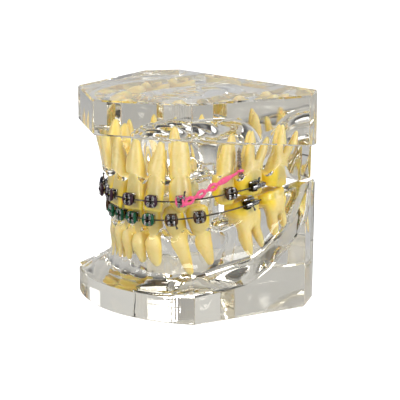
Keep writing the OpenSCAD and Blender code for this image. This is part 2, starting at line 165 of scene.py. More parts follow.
# Colours from the camera's side to the far side, and from the horizon up.
WALL_TONES = [(0.06, (0.03, 0.032, 0.038)), (0.15, (0.08, 0.082, 0.09)), (0.24, (0.40, 0.40, 0.41)),
              (0.62, (0.62, 0.625, 0.63)), (0.9, (0.67, 0.675, 0.68))]
CEILING_TONES = [(0.3, WHITE), (0.58, (0.6, 0.6, 0.61)), (0.78, (0.07, 0.072, 0.08))]
# Painted shade on the floor: its colour from the camera's side, where it is darkest, to the far side.
FLOOR_SHADE_TONES = [(0.1, (0.44, 0.44, 0.445)), (0.5, (0.66, 0.662, 0.668)), (0.85, (0.80, 0.80, 0.80))]
FLOOR_SIZE = 6.0
FLOOR_DROP = 0.0001
FLOOR_FADE = 0.35
FLOOR_GLOW = 0.9


def stand_off(name, data, azimuth, elevation, distance):
    """A camera or lamp that looks at the target; azimuth 0 is in front, 90 at +X."""
    a = math.radians(azimuth)
    e = math.radians(elevation)
    towards = Vector((math.sin(a) * math.cos(e), -math.cos(a) * math.cos(e), math.sin(e)))
    obj = bpy.data.objects.new(name, data)
    obj.location = Vector(CAMERA_TARGET) + towards * distance
    obj.rotation_euler = (Vector(CAMERA_TARGET) - obj.location).to_track_quat("-Z", "Y").to_euler()
    bpy.context.scene.collection.objects.link(obj)
    return obj


def make_camera():
    data = bpy.data.cameras.new("camera")
    data.lens = CAMERA_LENS
    data.sensor_width = SENSOR_WIDTH
    data.clip_start = 0.01
    data.clip_end = 20.0
    bpy.context.scene.camera = stand_off("camera", data, CAMERA_AZIMUTH, CAMERA_ELEVATION,
                                         CAMERA_DISTANCE)


def make_lamps():
    for name, (azimuth, elevation, distance, size, power, color) in LAMPS.items():
        data = bpy.data.lights.new(name, "AREA")
        data.shape = "RECTANGLE"
        data.size, data.size_y = size
        data.energy = power
        data.color = color
        stand_off(name, data, azimuth, elevation, distance)


def depth_and_height(tree, coordinate, reach):
    """0 on the camera's side of the studio to 1 on the far side, and the height."""
    turned = add_node(tree, "VectorRotate", "Vector", {
        "Vector": add_node(tree, "TexCoord", coordinate), "Angle": math.radians(-CAMERA_AZIMUTH)},
        rotation_type="Z_AXIS")
    height = add_node(tree, "SeparateXYZ", "Z", {"Vector": turned})
    depth = add_node(tree, "MapRange", "Result", {
        "Value": height.node.outputs["Y"], "From Min": -reach, "From Max": reach})
    return depth, height


def make_world():
    world = bpy.data.worlds.new("studio")
    bpy.context.scene.world = world
    world.use_nodes = True
    tree = world.node_tree
    tree.nodes.clear()
    depth, height = depth_and_height(tree, "Generated", 1.0)
    walls = ramp(tree, depth, WALL_TONES)
    ceiling = ramp(tree, height, CEILING_TONES)
    tone = mixed(tree, 1.0, walls, ceiling, "MULTIPLY")
    background = add_node(tree, "Background", "Background", {"Color": tone})
    fill(tree, tree.nodes.new("ShaderNodeOutputWorld"), {"Surface": background})


def make_floor():
    """A wide floor with painted shade, darker towards the camera's side, which the camera sees
    brighter than the acrylic reflects it.
    """
    half = FLOOR_SIZE / 2
    mesh = bpy.data.meshes.new("floor")
    mesh.from_pydata([(-half, -half, 0), (half, -half, 0), (half, half, 0), (-half, half, 0)],
                     [], [(0, 1, 2, 3)])
    floor = bpy.data.objects.new("floor", mesh)
    floor.location.z = -FLOOR_DROP
    bpy.context.scene.collection.objects.link(floor)
    mat, tree, shader = principled("studio_floor")
    depth, _ = depth_and_height(tree, "Object", FLOOR_FADE)
    # Painted shade: the floor is darker towards the camera's side.
    fill(tree, shader, {"Base Color": ramp(tree, depth, FLOOR_SHADE_TONES), "Roughness": 0.6})
    glow = add_node(tree, "Emission", "Emission", {"Color": (*WHITE, 1), "Strength": FLOOR_GLOW})
    lit = add_node(tree, "AddShader", "Shader", {0: shader.outputs["BSDF"], 1: glow})
    swap_for(tree, shader, "Is Camera Ray", lit)
    mesh.materials.append(mat)


# ---------------- materials

ACRYLIC_TINT = (0.93, 0.89, 0.76, 1)
ACRYLIC_DENSITY = 9.0
ACRYLIC_IOR = 1.49
WAVINESS = 0.45
# Upright mill marks on the flat back; a wave texture of scale 1 repeats every WAVE_REPEAT.
BACK_SKIN = 0.0002
MILL_PITCH = 0.0007
MILL_DEPTH = 0.03
WAVE_REPEAT = 0.314

# Point attributes that the meshes carry for their materials: painted bounce light, a painted highlight
# and painted shade on the teeth, and near-black parts with painted shade on the metal.
PAINTED_BOUNCE_LIGHT = "painted_bounce_light"
PAINTED_GUM_HIGHLIGHT = "painted_gum_highlight"
PAINTED_SHADE = "painted_shade"
DARK_AND_SHADE = "oxide"

TOOTH_TONES = [(0.25, (0.79, 0.63, 0.225)), (0.5, (0.82, 0.68, 0.285)), (0.8, (0.85, 0.73, 0.37))]
# Attribute, colour and strength of each tone laid over a tooth: painted shade, painted bounce light
# and a painted highlight.
TOOTH_LAYERS = [(PAINTED_SHADE, (0.61, 0.48, 0.165), 0.6), (PAINTED_BOUNCE_LIGHT, (0.98, 0.71, 0.03), 1.0),
                (PAINTED_GUM_HIGHLIGHT, (0.93, 0.87, 0.56), 0.5)]
# Near-black tone laid over the metal's dark parts and over its painted shade.
DARK_AND_SHADE_TONE = (0.03, 0.026, 0.024, 1)
METAL_GRAIN = 2500.0

# Dark tone, light tone and roughness of each metal.
METALS = {
    "bracket_steel": ((0.09, 0.085, 0.08), (0.72, 0.70, 0.68), 0.12),
    "wire_steel": ((0.05, 0.042, 0.034), (0.17, 0.15, 0.12), 0.3),
    "screw_titanium": ((0.16, 0.11, 0.08), (0.66, 0.58, 0.50), 0.18),
}
# Dark tone, light tone, roughness and inner glow of each elastic.
ELASTICS = {
    "tie_aubergine": ((0.014, 0.003, 0.010), (0.055, 0.012, 0.036), 0.3, 0.0),
    "tie_navy": ((0.003, 0.004, 0.016), (0.010, 0.012, 0.05), 0.3, 0.0),
    "tie_amber": ((0.022, 0.010, 0.004), (0.10, 0.045, 0.014), 0.25, 0.1),
    "tie_green": ((0.0, 0.045, 0.018), (0.0, 0.15, 0.06), 0.28, 0.0),
    "chain_pink": ((0.93, 0.10, 0.25), (1.0, 0.17, 0.34), 0.35, 0.3),
}


def acrylic_relief(tree):
    """Faint waviness everywhere, and fine upright mill marks on the flat back."""
    place = add_node(tree, "TexCoord", "Object")
    y = add_node(tree, "SeparateXYZ", "Y", {"Vector": place})
    at_back = calculated(tree, "GREATER_THAN", y, cad_high[1] - BACK_SKIN)
    marks = add_node(tree, "TexWave", "Fac", {
        "Vector": place, "Scale": WAVE_REPEAT / MILL_PITCH, "Distortion": 0.6, "Detail": 2.0},
        bands_direction="X")
    milled = calculated(tree, "MULTIPLY", calculated(tree, "MULTIPLY", at_back, marks), MILL_DEPTH)
    return calculated(tree, "MULTIPLY_ADD", noise(tree, 150.0, 2.0), WAVINESS, milled)


def acrylic_material():
    """Clear casting that tints light with depth and lets shadow rays through."""
    mat, tree, shader = principled("clear_acrylic")
    fill(tree, shader, {
        "Base Color": (0.99, 0.985, 0.97, 1),
        "Transmission Weight": 1.0,
        "IOR": ACRYLIC_IOR,
        "Roughness": spread(tree, noise(tree, 90.0, 4.0), 0.0, 0.012),
        "Normal": bump(tree, acrylic_relief(tree), 0.5, 0.0001)})
    clear = add_node(tree, "BsdfTransparent", "BSDF", {"Color": (0.97, 0.96, 0.93, 1)})
    swap_for(tree, shader, "Is Shadow Ray", clear)
    tint = add_node(tree, "VolumeAbsorption", "Volume", {
        "Color": ACRYLIC_TINT, "Density": ACRYLIC_DENSITY})
    fill(tree, tree.nodes["out"], {"Volume": tint})
    return mat


def tooth_material():
    """Yellow resin, with painted shade, painted bounce light and a painted highlight that a tooth's
    own attributes lay over it.
    """
    mat, tree, shader = principled("tooth_resin")
    tone = ramp(tree, noise(tree, 170.0, 5.0, 0.55, 0.4), TOOTH_TONES)
    for layer, color, strength in TOOTH_LAYERS:
        here = add_node(tree, "Attribute", "Fac", attribute_name=layer)
        tone = mixed(tree, spread(tree, here, 0.0, strength), tone, (*color, 1))
    fill(tree, shader, {
        "Base Color": tone,
        "Subsurface Weight": 0.35,
        "Subsurface Radius": (1.0, 0.55, 0.2),
        "Subsurface Scale": 0.002,
        "Coat Weight": 0.25,
        "Coat Roughness": 0.12,
        "Roughness": spread(tree, noise(tree, 420.0, 3.0), 0.2, 0.38),
        "Normal": bump(tree, noise(tree, 900.0, 3.0), 0.2, 0.00006)})
    return mat


def metal_material(name, dark, light, rough):
    """Metal with patches of grime, nearly black where its attribute for dark parts and painted shade
    is 1.
    """
    mat, tree, shader = principled(name)
    grime = noise(tree, METAL_GRAIN, 4.0, 0.6)
    oxide = add_node(tree, "Attribute", "Fac", attribute_name=DARK_AND_SHADE)
    fill(tree, shader, {
        "Base Color": mixed(tree, oxide, ramp(tree, grime, [(0.4, dark), (0.62, light)]), DARK_AND_SHADE_TONE),
        "Metallic": 1.0,
        "Roughness": spread(tree, grime, rough * 0.7, rough * 1.5),
        "Normal": bump(tree, noise(tree, METAL_GRAIN * 2, 2.0), 0.15, 0.00002)})
    return mat


def elastic_material(name, dark, light, rough, glow):
    mat, tree, shader = principled(name)
    cloud = noise(tree, 1600.0, 3.0)
    fill(tree, shader, {
        "Base Color": ramp(tree, cloud, [(0.3, dark), (0.7, light)]),
        "Roughness": spread(tree, cloud, rough * 0.8, rough * 1.2),
        "Subsurface Weight": glow,
        "Subsurface Radius": (1.0, 0.4, 0.5),
        "Subsurface Scale": 0.0006,
        "Specular IOR Level": 0.35,
        "Normal": bump(tree, noise(tree, 3000.0, 2.0), 0.1, 0.00002)})
    return mat


def make_materials():
    made = {"clear_acrylic": acrylic_material(), "tooth_resin": tooth_material()}
    made.update((name, metal_material(name, *look)) for name, look in METALS.items())
    made.update((name, elastic_material(name, *look)) for name, look in ELASTICS.items())
    return made


# ---------------- mesh helpers

WELD = 0.001


def raw_mesh(name, points, faces):
    """A mesh in metres from points in millimetres."""
    mesh = bpy.data.meshes.new(name)
    mesh.from_pydata((np.asarray(points, float) * MM).tolist(), [], [tuple(f) for f in faces])
    return mesh


def checked_mesh(name, points, faces):
    mesh = raw_mesh(name, points, faces)
    mesh.validate()
    mesh.update()
    return mesh


def make_piece(name, mesh, jaw, slot, node, sharp=None):
    """A piece that rides on its jaw, has one finish, and stands for a CAD node.

    Edges sharper than the angle sharp, in degrees, stay sharp.
    """
    mesh.materials.clear()
    mesh.materials.append(materials[slot])
    mesh.shade_smooth()
    if sharp is not None:
        mesh.set_sharp_from_angle(angle=math.radians(sharp))
    piece = bpy.data.objects.new(name, mesh)
    bpy.context.scene.collection.objects.link(piece)
    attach(piece, jaw + "_jaw")
    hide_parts(node)


def read_rows(items, field, width, kind=float):
    """One field of all of a mesh's items, as rows of numbers."""
    values = np.zeros(len(items) * width, kind)
    items.foreach_get(field, values)
    return values.reshape(-1, width)


def mesh_points(mesh):
    return read_rows(mesh.vertices, "co", 3) / MM


def set_points(mesh, points):
    mesh.vertices.foreach_set("co", (points * MM).ravel())
    mesh.update()


def write_layer(mesh, name, values):
    layer = mesh.attributes.new(name, "FLOAT", "POINT")
    layer.data.foreach_set("value", np.asarray(values, np.float32))


def node_points(node):
    """A CAD node's corners in millimetres, each once."""
    return np.unique(np.round(mesh_points(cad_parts[node].data), 4), axis=0)


def node_box(node):
    low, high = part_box(node)
    return np.array(low) / MM, np.array(high) / MM


def catmull_rom(points, steps):
    """A smooth line through the points, with some steps between each two."""
    p = np.vstack([2 * points[0] - points[1], points, 2 * points[-1] - points[-2]])
    out = []
    for k in range(len(points) - 1):
        a, b, c, d = p[k:k + 4]
        for i in range(steps):
            t = i / steps
            out.append(0.5 * (2 * b + (c - a) * t + (2 * a - 5 * b + 4 * c - d) * t * t
                              + (3 * b - a - 3 * c + d) * t ** 3))
    out.append(points[-1])
    return np.array(out)


def smoothstep(x, low, high):
    t = np.clip((x - low) / (high - low), 0, 1)
    return t * t * (3 - 2 * t)


def unit(v):
    v = np.asarray(v, float)
    return v / np.linalg.norm(v)


def round_angles(count):
    return [2 * math.pi * i / count for i in range(count)]


def local_frame(x, y, z, origin):
    """A 4x4 placement from its axes and its origin."""
    result = np.eye(4)
    result[:3] = np.column_stack([x, y, z, origin])
    return result


def moved(points, place):
    """Points through a 4x4 placement."""
    return np.asarray(points) @ place[:3, :3].T + place[:3, 3]


class Part:
    """Collects points and faces of one piece made of several closed shells."""

    def __init__(self):
        self.points = []
        self.faces = []
        self.oxide = []

    def add(self, points, faces, oxide=0.0):
        base = len(self.points)
        self.points.extend(np.asarray(points, float).tolist())
        self.oxide.extend([oxide] * (len(self.points) - base))
        self.faces.extend(tuple(base + i for i in f) for f in faces)


def emptied(work):
    """Points and faces of a bmesh, which is then freed."""
    work.verts.index_update()
    points = [tuple(v.co) for v in work.verts]
    faces = [tuple(v.index for v in f.verts) for f in work.faces]
    work.free()
    return points, faces


def rounded_box(low, high, r, steps=2):
    """A box with rounded edges, as points and faces."""
    low, high = np.asarray(low, float), np.asarray(high, float)
    work = bmesh.new()
    bmesh.ops.create_cube(work, size=1.0)
    for v in work.verts:
        v.co = Vector(tuple(low + (np.array(v.co) + 0.5) * (high - low)))
    bmesh.ops.bevel(work, geom=work.edges[:], offset=min(r, (high - low).min() * 0.45),
                    segments=steps, profile=0.5, affect="EDGES")
    return emptied(work)


def ring_faces(count, sides, closed):
    """Faces that join rings of points in turn, with two end caps unless they close up."""
    faces = []
    for k in range(count if closed else count - 1):
        m = (k + 1) % count
        for i in range(sides):
            j = (i + 1) % sides
            faces.append((k * sides + i, k * sides + j, m * sides + j, m * sides + i))
    if not closed:
        faces.append(tuple(reversed(range(sides))))
        faces.append(tuple(range((count - 1) * sides, count * sides)))
    return faces


def lathe(profile, sides, closed=False):
    """A solid turned round Z from (radius, z) rows; a closed profile makes a ring."""
    points = [(r * math.cos(a), r * math.sin(a), z) for r, z in profile for a in round_angles(sides)]
    return points, ring_faces(len(profile), sides, closed)


def sweep(line, radius, sides, closed=False, flat=1.0, up=(0, 0, 1)):
    """A round tube along a line. flat squeezes it along the direction up."""
    line = np.asarray(line, float)
    count = len(line)
    ahead = np.roll(line, -1, 0) - np.roll(line, 1, 0)
    if not closed:
        ahead[0] = line[1] - line[0]
        ahead[-1] = line[-1] - line[-2]
    radius = np.broadcast_to(np.asarray(radius, float), (count,))
    points = []
    for k in range(count):
        t = unit(ahead[k])
        side = unit(np.cross(t, up))
        top = np.cross(side, t)
        for a in round_angles(sides):
            points.append(line[k] + radius[k] * (math.cos(a) * side + flat * math.sin(a) * top))
    return points, ring_faces(count, sides, closed)


def voxel_mesh(points, faces, size, name):
    """A single closed skin round everything given, as a new mesh in metres."""
    mesh = raw_mesh(name, points, faces)
    obj = bpy.data.objects.new(name, mesh)
    bpy.context.scene.collection.objects.link(obj)
    remesh = obj.modifiers.new("voxel", "REMESH")
    remesh.mode = "VOXEL"
    remesh.voxel_size = size * MM
    bpy.context.view_layer.update()
    graph = bpy.context.evaluated_depsgraph_get()
    result = bpy.data.meshes.new_from_object(obj.evaluated_get(graph), depsgraph=graph)
    bpy.data.objects.remove(obj)
    bpy.data.meshes.remove(mesh)
    return result


def relax(mesh, rounds, weight, keep=None):
    """Moves each point towards its neighbours' mean; keep is each point's share, 0 to 1."""
    points = mesh_points(mesh)
    a, b = read_rows(mesh.edges, "vertices", 2, int).T
    ends = np.concatenate([a, b])
    others = np.concatenate([b, a])
    degree = np.maximum(np.bincount(ends, minlength=len(points)), 1)
    share = weight if keep is None else weight * keep[:, None]
    for _ in range(rounds):
        mean = np.stack([np.bincount(ends, points[others, i], len(points)) for i in range(3)], 1)
        points = points + share * (mean / degree[:, None] - points)
    set_points(mesh, points)
    return points


# ---------------- arches

WIRE_SIDES = 8
WIRE_STANDOFF = 1.25
ARCH_PIVOT_Y = 10.0
SPLINE_STEPS = 8


class Arch:
    """The line of one jaw's tooth faces, read from its archwire node.

    A place on it is its distance along the plan from the midline, positive on the left.
    """

    def __init__(self, jaw):
        points = node_points(jaw + "_archwire")
        turn = np.arctan2(points[:, 0], ARCH_PIVOT_Y - points[:, 1])
        rings = points[np.argsort(turn)].reshape(-1, WIRE_SIDES, 3)
        self.wire = rings.mean(1)
        self.wire_r = np.linalg.norm(rings[0] - self.wire[0], axis=1).max()
        line = catmull_rom(self.wire, SPLINE_STEPS)
        for end, inner in ((0, SPLINE_STEPS), (-1, -1 - SPLINE_STEPS)):
            rise = (line[end, 2] - line[inner, 2]) / abs(line[end, 1] - line[inner, 1])
            far = cad_high[1] / MM + 4 - line[end, 1]
            tail = line[end] + np.array([[0, d, rise * d] for d in (far * 0.5, far)])
            line = np.vstack([tail[::-1], line]) if end == 0 else np.vstack([line, tail])
        step = np.linalg.norm(np.diff(line[:, :2], axis=0), axis=1)
        along = np.concatenate([[0], np.cumsum(step)])
        along -= self.middle(line, along)
        self.line, self.along = line, along
        ahead = np.gradient(line[:, :2], along, axis=0)
        ahead /= np.linalg.norm(ahead, axis=1)[:, None]
        self.out = np.stack([ahead[:, 1], -ahead[:, 0]], 1)

    @staticmethod
    def middle(line, along):
        """How far along the line it crosses the midline."""
        k = np.nonzero((line[:-1, 0] < 0) & (line[1:, 0] >= 0))[0][0]
        share = -line[k, 0] / (line[k + 1, 0] - line[k, 0])
        return along[k] + share * (along[k + 1] - along[k])

    def at(self, place):
        """Wire point and outward direction at a place or an array of places."""
        p = np.stack([np.interp(place, self.along, self.line[:, i]) for i in range(3)], -1)
        n = np.stack([np.interp(place, self.along, self.out[:, i]) for i in range(2)], -1)
        return p, n / np.linalg.norm(n, axis=-1, keepdims=True)

    def nearest(self, xy):
        """The place whose wire point is nearest in plan."""
        d = np.linalg.norm(self.line[:, :2] - np.asarray(xy), axis=1)
        k = int(np.clip(d.argmin(), 1, len(d) - 2))
        fine = np.linspace(self.along[k - 1], self.along[k + 1], 41)
        p, _ = self.at(fine)
        return fine[np.linalg.norm(p[:, :2] - np.asarray(xy), axis=1).argmin()]

    def of_outline(self, q):
        """The place on the left whose outward line passes through a plan point."""
        behind = np.stack([-self.out[:, 1], self.out[:, 0]], 1)
        v = np.asarray(q) - self.line[:, :2]
        c = (v * behind).sum(1)
        outside = (self.along >= -1e-9) & ((v * self.out).sum(1) > 0)
        found = 0.0
        for k in range(len(c) - 1):
            if outside[k] and c[k] >= 0 > c[k + 1]:
                share = c[k] / (c[k] - c[k + 1])
                found = self.along[k] + share * (self.along[k + 1] - self.along[k])
        return found


def node_place(jaw, node):
    """The place on a jaw's arch nearest to the middle of a node's box."""
    low, high = node_box(node)
    return arches[jaw].nearest(((low + high) / 2)[:2])


def placement(jaw, place):
    """Local frame on the arch: X to the back, -Y to the lips, Z up, origin on the face."""
    arch = arches[jaw]
    wire, n = arch.at(place)
    hand = 1 if place >= 0 else -1
    x = unit(arch.at(place + 0.4)[0] - arch.at(place - 0.4)[0]) * hand
    y = unit([-n[0], -n[1], 0.0])
    z = unit(np.cross(x, y)) * hand
    return local_frame(x, y, z, wire + y * WIRE_STANDOFF)


# ---------------- teeth

KINDS = {"central_incisor": "incisor", "lateral_incisor": "incisor", "canine": "canine",
         "first_premolar": "premolar", "second_premolar": "premolar",
         "first_molar": "molar", "second_molar": "molar"}
TOOTH_VOXEL = 0.3
TOOTH_ROUNDS = 26
# Height of the crown that is measured for a tooth's width and middle.
CROWN_BAND = 5.0
# How far a root stands outside its CAD surface, per jaw and kind, and on the other teeth.
ROOT_FILL = {("lower", "incisor"): 0.9, ("upper", "incisor"): 0.5}
ROOT_FILL_USUAL = 0.35
CUSP_DEPTH = {"molar": 1.3, "premolar": 1.4}
CROWN_FILL = 0.55
OVERHANG = 1.0
GROOVE_DEPTH = 0.35
RIB_HEIGHT = 0.16
HOLLOW_DEPTH = 0.5
LOBE_HEIGHT = 0.05
# Height of the band of painted bounce light at the biting edge, and strengths of the painted bounce
# light in the gaps, on the sides and at the biting edge.
BITE_BOUNCE_DEPTH = {"incisor": 1.6, "canine": 1.6, "premolar": 2.5, "molar": 4.0}
GAP_BOUNCE = 0.9
SIDE_BOUNCE = 0.4
BITE_BOUNCE = 0.6
# Painted shade on the root and on the crown, and strength of the painted highlight, a pale line along
# the gum's edge.
PAINTED_SHADE_AND_HIGHLIGHT = {"upper": (0.75, 1.0, 1.0), "lower": (0.0, 0.4, 0.3)}


def tooth_nodes(jaw):
    """Name, side and kind of each tooth node of a jaw."""
    found = []
    for side in SIDES:
        for tooth, kind in KINDS.items():
            name = f"{jaw}_{side}_{tooth}"
            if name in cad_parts:
                found.append((name, side, kind))
    return found


def tooth_facts(jaw, name):
    """Where a tooth stands on the arch, which way it faces, and its edge and crown width."""
    points = node_points(name)
    up = 1 if jaw == "lower" else -1
    edge = (points[:, 2] * up).max()
    crown = points[points[:, 2] * up > edge - CROWN_BAND]
    middle = (crown[:, :2].min(0) + crown[:, :2].max(0)) / 2
    place = arches[jaw].nearest(middle)
    _, n = arches[jaw].at(place)
    t = np.array([-n[1], n[0]])
    width = np.ptp(crown[:, :2] @ t)
    return {"place": place, "edge": edge * up, "up": up, "width": width, "middle": middle,
            "out": n, "along": t if t[1] > 0 else -t}


def below_edge(points, fact):
    """How far each point lies from the biting edge towards the root."""
    return (fact["edge"] - points[:, 2]) * fact["up"]


def cusp_height(kind, u, v):
    """0 on the cusp ridges, down to -1 in the middle; u runs to the back, v to the tongue."""
    if kind == "molar":
        across = np.exp(-((u + 0.04) / 0.16) ** 2)
        grooves = across + 0.8 * np.exp(-((np.abs(u) - 0.95) / 0.2) ** 2)
        pit = 0.55 + 0.45 * np.exp(-((np.abs(u) - 0.42) / 0.25) ** 2)
    else:
        grooves = 0.9 * smoothstep(np.abs(u), 0.35, 1.0)
        pit = 0.6 + 0.4 * np.exp(-(u / 0.5) ** 2)
    valley = np.exp(-(v / 0.3) ** 2) * pit
    rim = smoothstep(np.abs(v), 0.5, 1.0)
    return -np.clip(valley + 0.3 * grooves * (1 - 0.5 * rim) + 0.1 * rim, 0, 1)


def carve_crown(points, fact, kind):
    """Shapes a crown in place: cusps and fissures, a rib, or a hollow behind the edge.

    u runs to the back and v to the tongue, both from -1 to 1 over the crown.
    """
    up, out, half_width = fact["up"], fact["out"], fact["width"] / 2
    below = below_edge(points, fact)
    local = points[:, :2] - fact["middle"]
    u = local @ fact["along"] / half_width
    across = points[:, :2] @ out
    crown = across[below < CROWN_BAND]
    offset = across - (crown.max() + crown.min()) / 2
    v = -offset / (np.ptp(crown) / 2)
    if kind in CUSP_DEPTH:
        fuller = (1 - smoothstep(below, 0.3, 2.4)) * CROWN_FILL
        points[:, :2] += (local - np.outer(offset, out)) * (fuller / half_width)[:, None]
        points[:, :2] -= np.outer(v * fuller, out)
        drop = cusp_height(kind, u, v) * CUSP_DEPTH[kind]
        points[:, 2] += up * drop * (1 - smoothstep(below, 0.4, 3.2))
        if up < 0:
            outer = smoothstep(-v, 0.25, 0.75) * (1 - smoothstep(below, 0.5, 3.5))
            tips = 0.72 + 0.28 * np.cos(2 * math.pi * u) if kind == "molar" else 1 - 0.35 * u * u
            points[:, 2] += up * OVERHANG * outer * np.clip(tips, 0, 1)
        if kind == "molar":
            groove = np.exp(-(u / 0.13) ** 2) * smoothstep(np.abs(v), 0.45, 0.9)
            groove *= 1 - smoothstep(below, 2.0, 4.6)
            points[:, :2] += np.outer(GROOVE_DEPTH * groove * np.sign(v), out)
    elif kind == "canine":
        rib = np.exp(-(u / 0.3) ** 2) * smoothstep(-v, 0.3, 0.9) * (1 - smoothstep(below, 4, 8))
        points[:, :2] += np.outer(RIB_HEIGHT * rib, out)
    else:
        hollow = np.exp(-(u / 0.45) ** 2) * smoothstep(v, -0.1, 0.6)
        hollow *= smoothstep(below, 0.8, 3.0) * (1 - smoothstep(below, 4.5, 7.0))
        points[:, :2] += np.outer(HOLLOW_DEPTH * hollow, out)
        lobes = np.cos(u * 3 * math.pi) * smoothstep(-v, 0.2, 0.8) * (1 - smoothstep(below, 1, 6))
        points[:, :2] += np.outer(LOBE_HEIGHT * lobes, out)


def welded_node(node):
    """A CAD node's points in millimetres, each once, and its faces."""
    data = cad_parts[node].data
    work = bmesh.new()
    verts = [work.verts.new(v) for v in mesh_points(data)]
    for polygon in data.polygons:
        work.faces.new([verts[i] for i in polygon.vertices])
    bmesh.ops.remove_doubles(work, verts=work.verts, dist=WELD)
    return emptied(work)


def tooth_form(jaw, name, kind):
    """A tooth's CAD solid with soft edges, fuller roots and a shaped crown."""
    fact = facts[name]
    mesh = voxel_mesh(*welded_node(name), TOOTH_VOXEL, name + "_form")
    keep = 0.2 + 0.8 * smoothstep(below_edge(mesh_points(mesh), fact), 0.2, 2.5)
    points = relax(mesh, TOOTH_ROUNDS, 0.5, keep)
    fuller = ROOT_FILL.get((jaw, kind), ROOT_FILL_USUAL)
    fuller = fuller * smoothstep(below_edge(points, fact), 9, 13)
    points = points + read_rows(mesh.vertex_normals, "vector", 3) * fuller[:, None]
    low, high = node_box(name)
    z_low, z_high = points[:, 2].min(), points[:, 2].max()
    points[:, 2] = low[2] + (points[:, 2] - z_low) * (high[2] - low[2]) / (z_high - z_low)
    carve_crown(points, fact, kind)
    set_points(mesh, points)
    relax(mesh, 3, 0.4)
    return mesh


def paint_tooth(mesh, jaw, fact, kind):
    """Writes a tooth's painted bounce light, its painted shade on root and crown, and its painted
    highlight, a pale line along the gum's edge.
    """
    points = mesh_points(mesh)
    below = below_edge(points, fact)
    along = (points[:, :2] - fact["middle"]) @ fact["along"] / (fact["width"] / 2)
    beside = np.abs(along)
    if kind == "molar":
        beside = np.maximum(beside, smoothstep(-along, -0.4, 0.6))
    sideways = np.abs(read_rows(mesh.vertex_normals, "vector", 3)[:, :2] @ fact["along"])
    # Painted bounce light: yellow in the gaps between teeth, on the sides that face the neighbours,
    # and where light shines through the biting edge.
    painted_bounce = smoothstep(beside, 0.35, 0.9) * (1 - smoothstep(below, 4, 8)) * GAP_BOUNCE
    painted_bounce = np.maximum(painted_bounce, smoothstep(sideways, 0.55, 1.0) * SIDE_BOUNCE)
    painted_bounce = np.maximum(painted_bounce, (1 - smoothstep(below, 0.0, BITE_BOUNCE_DEPTH[kind])) * BITE_BOUNCE)
    margin = soft_table(MARGIN[jaw], points[:, 1])
    above = (points[:, 2] - margin) * fact["up"] - scallop(jaw, margin_dip(along))
    root, crown, edge = PAINTED_SHADE_AND_HIGHLIGHT[jaw]
    write_layer(mesh, PAINTED_BOUNCE_LIGHT, painted_bounce)
    # Painted highlight: a pale line on the tooth along the gum's edge.
    write_layer(mesh, PAINTED_GUM_HIGHLIGHT, edge * np.exp(-((above - 0.1) / 0.3) ** 2))
    # Painted shade: the upper teeth darkened, their crowns most; the lower crowns darkened a little.
    write_layer(mesh, PAINTED_SHADE, root + (crown - root) * smoothstep(above, 0.0, 0.6))


def make_tooth(jaw, name, kind):
    mesh = tooth_form(jaw, name, kind)
    paint_tooth(mesh, jaw, facts[name], kind)
    make_piece(name + "_resin", mesh, jaw, "tooth_resin", name)


# ---------------- acrylic bases

CHAMFER = 0.45
CORNER_R = 0.8
EDGE_STEP = 2.5
ROW_STEP = 0.6
ROW_GAP = 0.2
BASE_SHARP = 32
# Plan of the trimmed sides: the upper base has straight cuts, the lower one a round front.
UPPER_CORNER = (25.6, -15.6)
UPPER_WIDEST_Y = 20.9
UPPER_BACK_X = 30.7
LOWER_FRONT_R = 43.4
LOWER_FRONT_X = 26.6
LOWER_FRONT_Y = -15.45
LOWER_WIDEST = (35.5, 21.4)
LOWER_BACK_X = 30.0
# Tables of (y, value) from front to back: heights, and distances outside the tooth faces.
UPPER_UNDER = [(-30.75, 54.3), (-15.6, 53.9), (20.9, 49.4), (30.75, 47.9)]
LOWER_FOLD = [(-30, 11.4), (-22, 10.9), (-15, 10.5), (-6, 11.4), (0, 13.4), (9, 15.0),
              (13.5, 17.3), (18, 20), (21, 22.3), (24, 25.5), (27, 30.5), (30.75, 37.1)]
WALL = {
    "upper": UPPER_UNDER,
    "lower": [(-30.75, 8.1), (-15.5, 8.7), (-4.3, 9.4), (1, 10.1), (4.6, 11.3), (9.3, 14.1),
              (12.7, 17.1), (16.1, 20), (18.8, 23.6), (20.8, 28), (22.4, 33), (23.7, 37.6),
              (24.4, 38.0), (30.75, 37.3)],
}
MARGIN = {
    "upper": [(-30, 41.5), (23.2, 41.5), (24.8, 36.9), (30.75, 37.3)],
    "lower": [(-30, 23.9), (-8, 24.1), (9, 28.9), (20, 32.3), (26, 33.0), (30.75, 35.8)],
}
LINGUAL = {
    "upper": [(-30, 41.7), (23.2, 41.7), (24.8, 36.2), (30.75, 35.4)],
    "lower": [(-30, 23.6), (-8, 24.0), (9, 28.6), (20, 31.8), (26, 31.6), (30.75, 32.4)],
}
FOLD_OUT = {
    "upper": [(-30, 3.5), (30.75, 3.9)],
    "lower": [(-30, 2.2), (18, 2.3), (30.75, 5.6)],
}
# Gum face outside the teeth: share of the way from the fold to the margin, and offset.
GUM = {
    "upper": [(0.06, 3.25), (0.14, 3.1), (0.26, 2.85), (0.38, 2.55), (0.5, 2.2), (0.62, 1.9),
              (0.74, 1.6), (0.84, 1.4), (0.92, 1.3), (0.97, 1.1)],
    "lower": [(0.07, 1.55), (0.14, 1.05), (0.24, 0.62), (0.36, 0.3), (0.48, 0.15), (0.6, 0.35),
              (0.72, 0.75), (0.83, 1.05), (0.92, 1.1), (0.97, 0.95)],
}
# Shares of the way over the ledge, and down the gum's inner side.
LEDGE_SHARES = (0.2, 0.4, 0.6, 0.8, 0.93)
LEDGE_SAG = 0.25
INNER_SHARES = (0.14, 0.3, 0.5, 0.7, 0.86, 0.96)
# Offset and height of the gum's rim round the outside and the inside of the teeth.
OUTER_LIP = ((0.35, 0.0), (-0.3, 0.12), (-1.1, -0.1))
INNER_LIP = ((-0.9, -0.05), (-0.2, 0.1), (0.45, -0.25), (0.9, -1.0))
